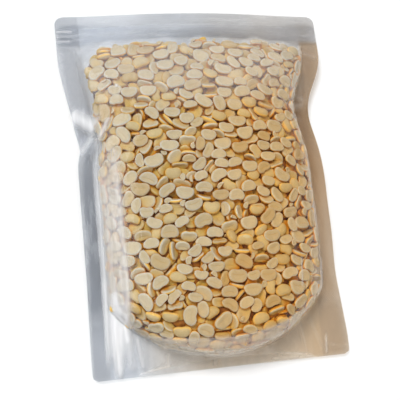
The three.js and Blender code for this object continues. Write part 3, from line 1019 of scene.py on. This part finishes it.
def film_material():
    """Clear film: tinted see-through, mirror gloss that grows at a slant, and a milky veil of haze
    and painted reflection.
    """
    n = Nodes("clear_film")
    knurl, ribs = n.value("film_knurl"), n.value("film_ribs")
    drift = n.linear(n.noise(14, 3), 0.5, -0.25)
    warm = n.ramp(n.plus(n.value("film_warm"), drift), 0.1, 0.9)
    seal = n.mix(warm, SEAL_COOL, SEAL_WARM)
    seal = n.tinted(seal, n.linear(n.noise(22, 4), 0.30, 0.86))
    seal = n.mix(n.value("film_low"), seal, (1.0, 1.0, 1.0))
    seal = n.tinted(seal, n.less(n.value("film_shade")))
    tint = n.mix(n.value("film_seal"), n.mix(warm, BODY_COOL, BODY_WARM), seal)
    # The veil's colour, darkened as painted shade below the foot's crest and on the gusset.
    haze_and_glare_colour = n.mix(n.value("film_painted_shade"), n.mix(warm, HAZE_GLARE_COOL, HAZE_GLARE_WARM), HAZE_GLARE_PAINTED_SHADE)
    # Two sets of slanting lines make the knurled print of the seals.
    x, y, _ = n.node("SeparateXYZ", {0: n.place()}).outputs
    slants = (n.plus(x, y), n.math("SUBTRACT", x, y))
    waves = [n.math("SINE", n.times(slant, HATCH_PITCH)) for slant in slants]
    hatch = n.times(n.math("MAXIMUM", *waves), knurl)
    # The film's own relief, and what makes it milky: haze, painted reflection and painted
    # highlights.
    lines = n.times(n.noise(900, 2, (0.03, 1, 1)), n.times(ribs, 0.8))
    ripple = n.times(n.noise(60, 3, (1.6, 0.7, 1)), 4.0)
    normal = n.bump(n.plus(n.plus(hatch, lines), ripple), 0.0003)
    streaks = n.linear(n.noise(260, 3, (1, 0.14, 1)), 1.1, 0.45)
    # The veil: a little haze everywhere, and painted reflection and highlights where the film's
    # values ask for them.
    veil = n.linear(n.times(n.value("film_haze_and_glare"), streaks), VEIL, HAZE)
    rib_lines = n.times(n.ramp(n.noise(620, 2, (0.03, 1, 1)), 0.55, 0.72), ribs)
    veil = n.plus(veil, n.times(rib_lines, RIB_VEIL))
    veil = n.math("MINIMUM", n.plus(veil, n.times(hatch, HATCH_VEIL)), MOST_VEIL)
    mirror = {"Color": (1, 1, 1), "Roughness": FILM_ROUGH, "Normal": normal}
    return n.sheer(tint, haze_and_glare_colour, veil, FILM_GLOSS, mirror)


ZIP_TINT = (0.985, 0.988, 0.995)
ZIP_GLOSS = (0.008, 0.08)
ZIP_ROUGH = 0.12
ZIP_MILK = 0.01


def zip_material():
    n = Nodes("zip_strip")
    streaks = n.ramp(n.noise(90, 3, (0.25, 3.0, 1)), 0.35, 0.75)
    tint = n.mix(streaks, (1.0, 1.0, 1.0), ZIP_TINT)
    normal = n.bump(n.noise(300, 2, (0.2, 2.0, 1)), 0.0003)
    mirror = {"Roughness": ZIP_ROUGH, "Normal": normal}
    return n.sheer(tint, HAZE_GLARE_COOL, ZIP_MILK, ZIP_GLOSS, mirror)


def floor_material():
    n = Nodes("pale_floor")
    colour = n.mix(n.noise(3, 2), (0.93, 0.93, 0.93), (0.95, 0.95, 0.95))
    return n.solid(colour, 0.9, Specular_IOR_Level=0.1)


# ---- the film that beans lie against
GUSSET_COLUMNS = 120
GUSSET_LEVELS = 18
GUSSET_OPEN = 7


def film_patch(x, y, side):
    """The filled part of the front film, with side 1, or of the back film, with side -1."""
    low, high = back_z(x, y), front_z(x, y)
    points = np.stack([x, y, high if side > 0 else low], axis=2)
    return Patch(points, side * grid_normals(points), high - low)


def gusset_patch():
    """The gusset film between the front and back seams."""
    turn = np.linspace(0, np.pi, GUSSET_COLUMNS + 1)[None, :]
    level = np.linspace(0, 1, GUSSET_LEVELS + 1)[:, None]
    half = seam_half(np.cos(turn) > 0, GUSSET_START_Y)
    x = -half * np.cos(turn)
    y = GUSSET_START_Y - GUSSET_DEPTH * np.abs(np.sin(turn)) ** 1.5
    top, bottom = front_base(x, y), back_base(x, y)
    out = np.stack([x / half**2, (y - GUSSET_START_Y) / GUSSET_DEPTH**2], axis=2)
    out = unit(out) * (GUSSET_BULGE * clamp((top - bottom) / 12))[..., None]
    bulge = np.sin(np.pi * level)[..., None] * out
    z = bottom + (top - bottom) * level
    points = np.stack([x + bulge[..., 0], y + bulge[..., 1], z], axis=2)
    height = points[-1, :, 2] - points[0, :, 2]
    room = np.broadcast_to(np.where(height > GUSSET_OPEN, height, 0), z.shape)
    return Patch(points, grid_normals(points), room)


front_x, front_y, front_fill = sheet_plan(front_edge_y)
back_x, back_y, back_fill = sheet_plan(back_edge_y, step=2)
front = film_patch(front_x[front_fill], front_y[front_fill], 1)
back = film_patch(back_x[back_fill], back_y[back_fill], -1)
gusset = gusset_patch()

# ---- the beans
LEAST_BEAN_Z = 0.3

random = np.random.default_rng(SEED)
filled = np.zeros(VOXEL_SHAPE, dtype=bool)
front_beans = lay_beans(front, filled, random, limit=1500, most_depth=4.8)
gusset_beans = lay_beans(gusset, filled, random, limit=120, most_depth=4.0)
back_beans = lay_beans(back, filled, random, limit=700, most_depth=3.0)
all_beans = front_beans + gusset_beans + back_beans
for bean in all_beans:
    lowest = (bean_points(bean) @ bean["axes"].T + bean["centre"])[:, 2].min()
    bean["centre"] = bean["centre"] + [0, 0, max(0, LEAST_BEAN_Z - lowest)]


# ---- how the film looks at each point
CREST_X = -3
CREST_Y = -90.3


def below_crest(x, y):
    """1 below the crest of the foot, where the film turns down to the gusset."""
    crest_y = CREST_Y + np.where(x < CREST_X, 0.0028, 0.0055) * (x - CREST_X) ** 2
    return ease(crest_y - y, -0.8, 0.8) * ease(mouth(x), 0, 0.5)


def film_haze_and_glare(x, y):
    """Where the film is made milky: partly its own haze and partly painted reflection of the lamps,
    on the slopes round the clear middle of the front.
    """
    past_seam = np.abs(x) - seam_half(x < 0, y)
    top = 0.52 * ease(y, 34, 60) * ease(y, 89, 86)
    left = 1.60 * ease(x, -52, -57) * ease(y, -105, -85) * ease(y, 40, -5)
    left = left * ease(past_seam, 3.0, 1.5)
    foot = (1.35 - 0.65 * ease(gusset_y(x) - y, 0, 2)) * below_crest(x, y)
    right = 0.10 * ease(x, 46, 54)
    slopes = np.maximum(np.maximum(top, left), np.maximum(foot, right))
    # Painted highlights: a faint line along the side seams, a bright line along the front film's
    # lower edge, the painted sheens, and the creases made a little whiter.
    seam = np.exp(-((past_seam / 0.8) ** 2)) * ease(y, -66, -60) * ease(y, 40, 10)
    edge = np.exp(-(((y - front_edge_y(x) - 0.7) / 0.8) ** 2))
    edge = edge * ease(np.abs(x), 28, 40) * ease(mouth(x), 0, 0.1)
    lines = drawn(PAINTED_SHEENS, x, y) + 0.35 * drawn(CREASES, x, y)
    return slopes + lines + 0.10 * seam + 1.1 * edge


def film_knurl(x, y, corner):
    """Strength of the knurled print: a soft field in the corner seals, and rows of teeth."""
    return 0.4 * corner * ease(gusset_y(x) - y, 16, 7) + drawn(TOOTH_ROWS, x, y)


def film_low(x, y):
    """How far the tint is paled toward the foot, where the film lies on its own shadow."""
    return np.where(x < 0, 0.22 * ease(y, -60, -90), 0.42 * ease(y, 60, -90))


def film_shade(x, y):
    """How much darker the left side seal is at half height, where its film stands higher."""
    return 0.06 * ease(y, 40, 0) * ease(y, -95, -55) * (x < 0)


def film_warmth(x, y, beside):
    """How warm the film's tint is: more to the right and low down, less at the top."""
    cool = np.maximum(0.62 * ease(y, 84, 92), 0.65 * (1 - beside) * ease(y, 30, 70))
    return ease((x + 60) / 125 + 0.2 * ease(y, -20, -80)) * (1 - cool)


def film_values(x, y):
    """Values that the film's material reads: those above, how much seal it is, and the ribs."""
    beside = ease(np.abs(x) - side_of_beans(x < 0, y), -0.6, 1.8)
    header = ease(y - top_of_beans(x), -0.6, 1.8)
    grey = 0.45 + 0.27 * ease(y, 97, 101) + 0.48 * ease(x, -60, 20)
    below = ease(gusset_y(x) - y, -1, 2)
    corner = below * ease(mouth(x), 0.32, 0.07) * ease(gusset_y(x) - y, -1, 7)
    return {
        "film_seal": np.maximum(np.maximum(beside, header * grey), below * 0.7),
        "film_warm": film_warmth(x, y, beside),
        "film_haze_and_glare": film_haze_and_glare(x, y),
        # Painted shade: the film's veil is darkened below the crest of the foot.
        "film_painted_shade": 0.8 * below_crest(x, y),
        "film_low": film_low(x, y),
        "film_shade": film_shade(x, y),
        "film_knurl": film_knurl(x, y, corner),
        "film_ribs": ease(y, 88, 90) * ease(y, 106, 104),
    }


def gusset_values(x):
    """The same values for the gusset: plain, a little milky, and with its veil darkened as painted
    shade.
    """
    blank = 0 * x
    plain = dict.fromkeys(("film_seal", "film_low", "film_shade", "film_knurl", "film_ribs"), blank)
    warm = ease(x, -60, 65)
    return {**plain, "film_warm": warm, "film_haze_and_glare": blank + 0.3, "film_painted_shade": blank + 0.8}


# ---- film pieces
SAG = 0.16
MOST_SAG_GAP = 3.0
OPEN_SAG_GAP = 0.8
WAVES = 0.6
BACK_DROP = 0.25
LEAST_FILM_Z = 0.03


def film_sheet(name, points, values, flip=False):
    faces = grid_faces(*points.shape[:2], flip).tolist()
    return make_object(name, points, faces, values, clear_film)


clear_film = film_material()
# The front film dips between the beans that touch it.
between = np.where(front.sunk > 0, np.minimum(front.sunk, MOST_SAG_GAP), OPEN_SAG_GAP)
front_z_all = front_skirt_z(front_x, front_y)
front_z_all[front_fill] = front.points[..., 2] - SAG * smooth_grid(between, 2)
front_z_all += drawn(CREASES, front_x, front_y) + seal_waves(front_x, front_y) * WAVES
front_sheet = np.stack([front_x, front_y, front_z_all], axis=2)

back_z_all = back_skirt_z(back_x, back_y)
back_z_all[back_fill] = back.points[..., 2]
back_z_all = back_z_all + seal_waves(back_x, back_y) * WAVES - BACK_DROP
back_z_all = np.maximum(back_z_all, LEAST_FILM_Z)
back_sheet = np.stack([back_x, back_y, back_z_all], axis=2)

film_pieces = [
    film_sheet("film_front", front_sheet, film_values(front_x, front_y)),
    film_sheet("film_back", back_sheet, film_values(back_x, back_y), flip=True),
    film_sheet("film_gusset", gusset.points, gusset_values(gusset.points[..., 0])),
]
for sheet in film_pieces:
    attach(sheet, "root")
    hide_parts("pouch")

# ---- the beans' pieces
crowd = crowding(all_beans)
groups = {"beans_" + kind: [b for b in front_beans if b["kind"] == kind] for kind in KINDS}
groups["beans_under"] = gusset_beans + back_beans
peeled = bean_material()
bean_pieces = [bean_object(name, beans, crowd, peeled) for name, beans in groups.items()]

CORE_GAP = 0.5
CORE_LEAST = 4.0
CORE_MOST = 7.0
CORE_ROOM = 9.5


def core_sheet(patch, keep):
    """Surface just under the deepest beans of a patch, kept on its own side of the middle."""
    depth = smooth_grid(np.clip(patch.depth, CORE_LEAST, CORE_MOST), 1) + CORE_GAP
    points = patch.points - patch.normals * depth[..., None]
    x, y, z = np.moveaxis(points, 2, 0)
    points[..., 2] = keep(z, (front_z(x, y) + back_z(x, y)) / 2)
    return points.reshape(-1, 3)


# A sheet under the deepest beans, painted as shade, closes the view into the pouch.
core_points, core_faces, start = [], [], 0
for patch, keep, flip in ((front, np.maximum, False), (back, np.minimum, True)):
    faces = grid_faces(*patch.depth.shape, flip)
    deep_enough = (patch.room.ravel() > CORE_ROOM)[faces].all(axis=1)
    core_points.append(core_sheet(patch, keep))
    core_faces += (faces[deep_enough] + start).tolist()
    start += patch.depth.size
core_points = np.concatenate(core_points)
bean_pieces.append(make_object("painted_shade_core", core_points, core_faces, {}, core_shade_material()))

for piece in bean_pieces:
    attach(piece, "root")
    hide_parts("pouch")

# ---- the zip keeps its CAD shape
clear_zip = zip_material()
for node in ("zip_front_strip", "zip_back_strip"):
    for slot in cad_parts[node].material_slots:
        slot.material = clear_zip

# ---- floor, lights and camera
FLOOR_SIZE = 6.0
FLOOR_DROP = 0.0004
bpy.ops.mesh.primitive_grid_add(size=FLOOR_SIZE, x_subdivisions=4, y_subdivisions=4)
floor = bpy.context.active_object
floor.name = "floor"
floor.location.z = -FLOOR_DROP
floor.data.materials.append(floor_material())


def soft_box(name, place, size, power, colour=(1, 1, 1), gloss=True, matt=True):
    """Area light at a place in metres, aimed at the pouch, for gloss, matt surfaces or both."""
    data = bpy.data.lights.new(name, "AREA")
    data.shape = "RECTANGLE"
    data.size, data.size_y = size
    data.energy = power
    data.color = colour
    light = add_object(name, data)
    light.location = place
    light.rotation_euler = Vector(place).to_track_quat("Z", "Y").to_euler()
    light.visible_glossy = gloss
    light.visible_diffuse = matt


soft_box("key", (-0.75, 0.70, 1.75), (0.60, 0.60), 29, (1.0, 0.99, 0.97), gloss=False)
soft_box("fill", (0.15, -0.35, 1.20), (1.0, 1.0), 5.8, gloss=False)
soft_box("panel_top", (0.29, 1.05, 0.71), (1.6, 0.95), 4.5, (0.97, 0.98, 1.0), matt=False)
soft_box("panel_left", (-1.00, 0.20, 0.64), (1.5, 0.90), 15, (0.97, 0.99, 1.0), matt=False)
soft_box("panel_foot", (0.26, -1.02, 0.46), (1.3, 0.70), 3.5, matt=False)
soft_box("panel_right", (1.10, 0.10, 0.42), (1.2, 0.45), 1.2, (1.0, 0.94, 0.86), matt=False)

ROOM_COLOUR = (0.9, 0.95, 1.0, 1)
ROOM_LIGHT = 0.28
SEE_THROUGH_LIMIT = 32
world = bpy.data.worlds.new("soft_room")
world.use_nodes = True
background = world.node_tree.nodes["Background"]
background.inputs["Color"].default_value = ROOM_COLOUR
background.inputs["Strength"].default_value = ROOM_LIGHT
scene.world = world
scene.view_settings.view_transform = "Standard"
# Light passes up to twelve sheets of film and zip where the default limit is eight.
scene.cycles.transparent_max_bounces = SEE_THROUGH_LIMIT

LENS = 72
SENSOR = 36
NEAREST = 0.01
CAMERA_PLACE = (-0.12457, -0.09076, 0.45888)
CAMERA_RIGHT = (0.96615, -0.10295, 0.23656)
CAMERA_UP = (0.05710, 0.97952, 0.19309)
CAMERA_BACK = (-0.25159, -0.17305, 0.95224)
camera_data = bpy.data.cameras.new("camera")
camera_data.lens = LENS
camera_data.sensor_width = SENSOR
camera_data.clip_start = NEAREST
camera = add_object("camera", camera_data)
camera_axes = Matrix([CAMERA_RIGHT, CAMERA_UP, CAMERA_BACK]).transposed()
camera.matrix_world = Matrix.Translation(CAMERA_PLACE) @ camera_axes.to_4x4()
scene.camera = camera
